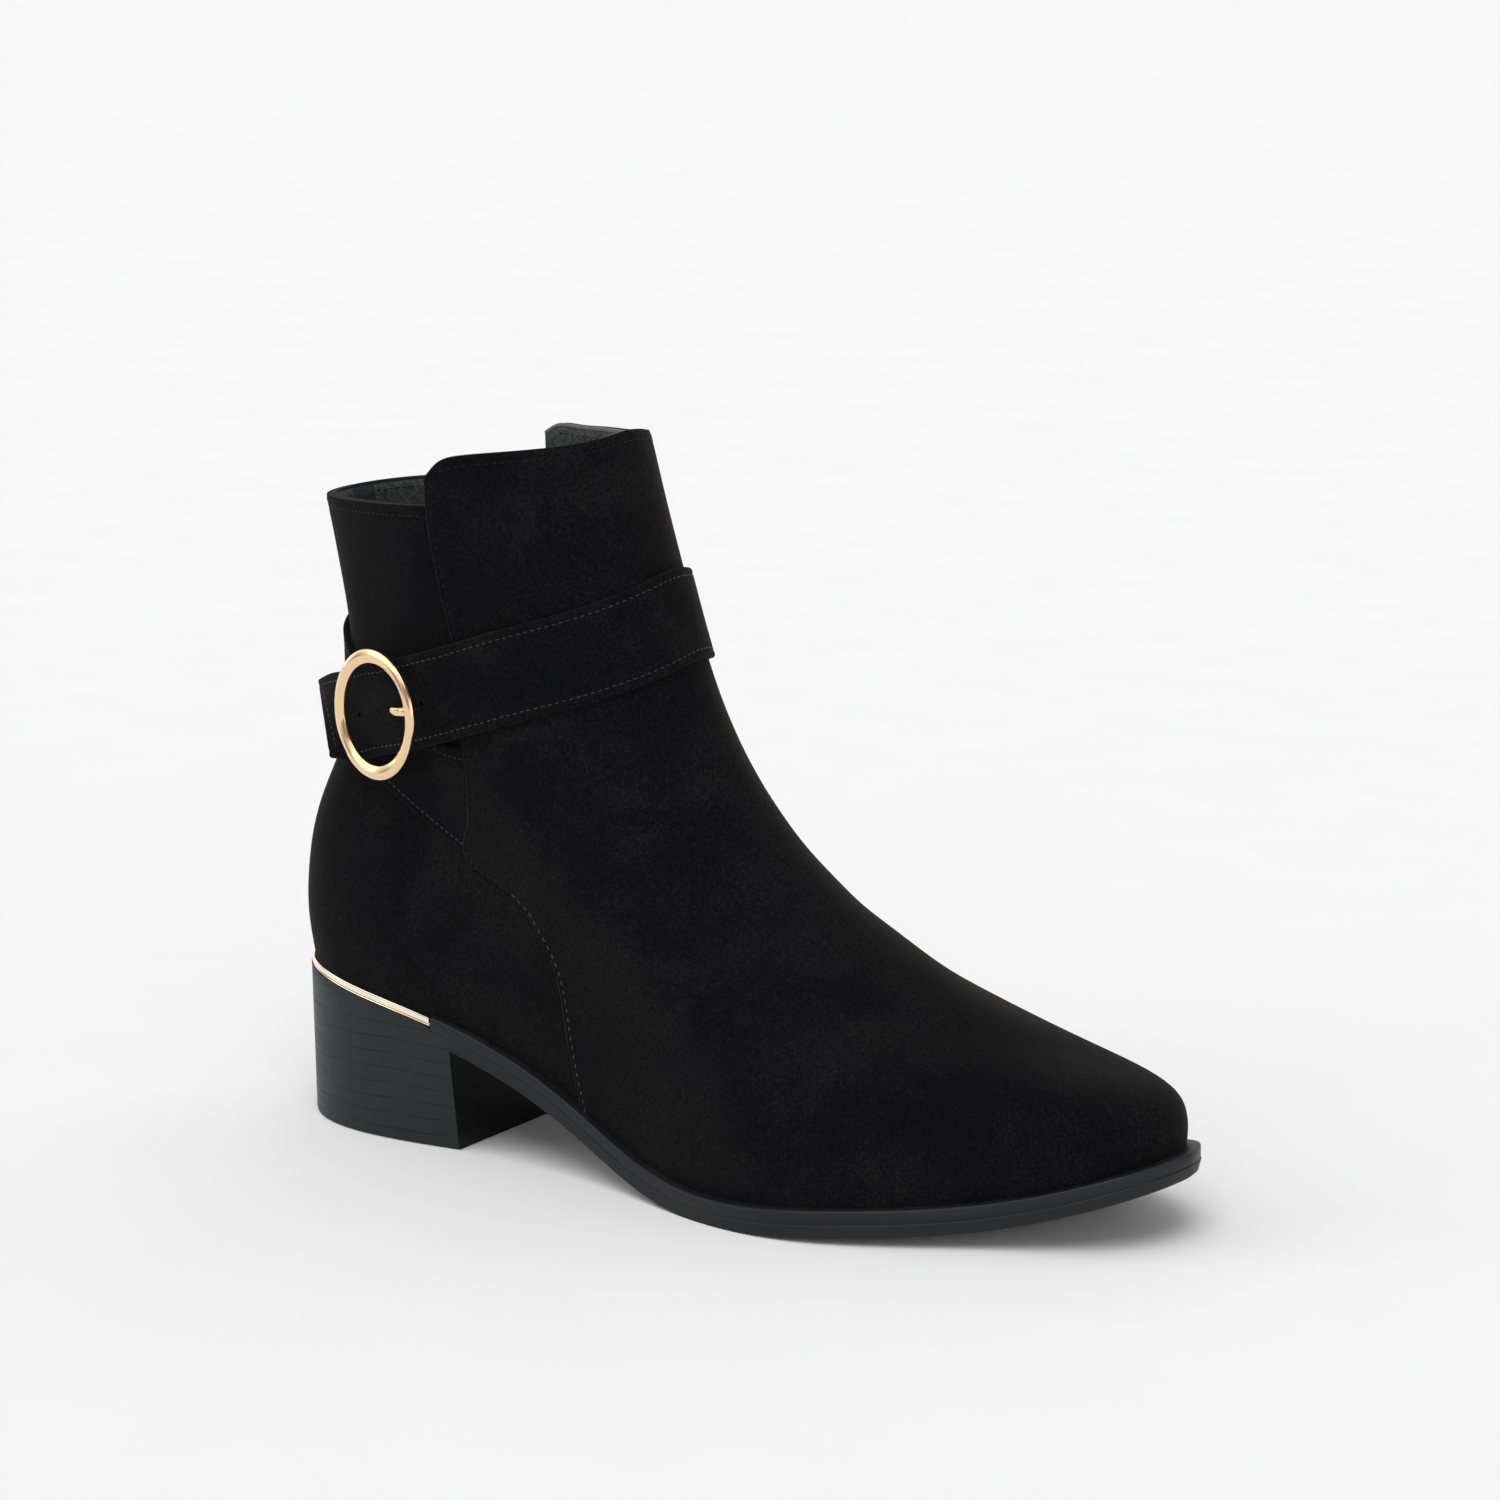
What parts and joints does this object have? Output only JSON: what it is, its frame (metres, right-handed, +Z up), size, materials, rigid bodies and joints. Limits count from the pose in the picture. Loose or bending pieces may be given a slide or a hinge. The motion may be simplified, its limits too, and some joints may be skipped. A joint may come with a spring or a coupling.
{
  "type": "buckle ankle boot",
  "caption": "Right ankle boot with a pointed toe, block heel, asymmetric front panel and a strap wrapped round the ankle to a round ring buckle; open at the collar for a foot.",
  "frame": {"origin": "on the floor under the middle of the boot's bounding box", "axes": "+X from the heel to the toe, +Y to the medial side of the foot, +Z up from the floor"},
  "size_m": [0.2618, 0.1, 0.1898],
  "materials": {
    "upper": "black faux suede",
    "insole": "dark grey cloth",
    "welt": "satin black rubber",
    "heel_strip": "polished pale gold",
    "outsole": "satin black rubber",
    "ankle_strap": "black faux suede",
    "buckle_ring": "polished pale gold",
    "buckle_prong": "polished pale gold"
  },
  "bodies": {
    "root": {"upper": "upper", "insole": "insole", "welt": "welt", "heel_strip": "heel_strip", "outsole": "outsole", "ankle_strap": "ankle_strap", "buckle_ring": "buckle_ring", "buckle_prong": "buckle_prong"}
  },
  "joints": []
}
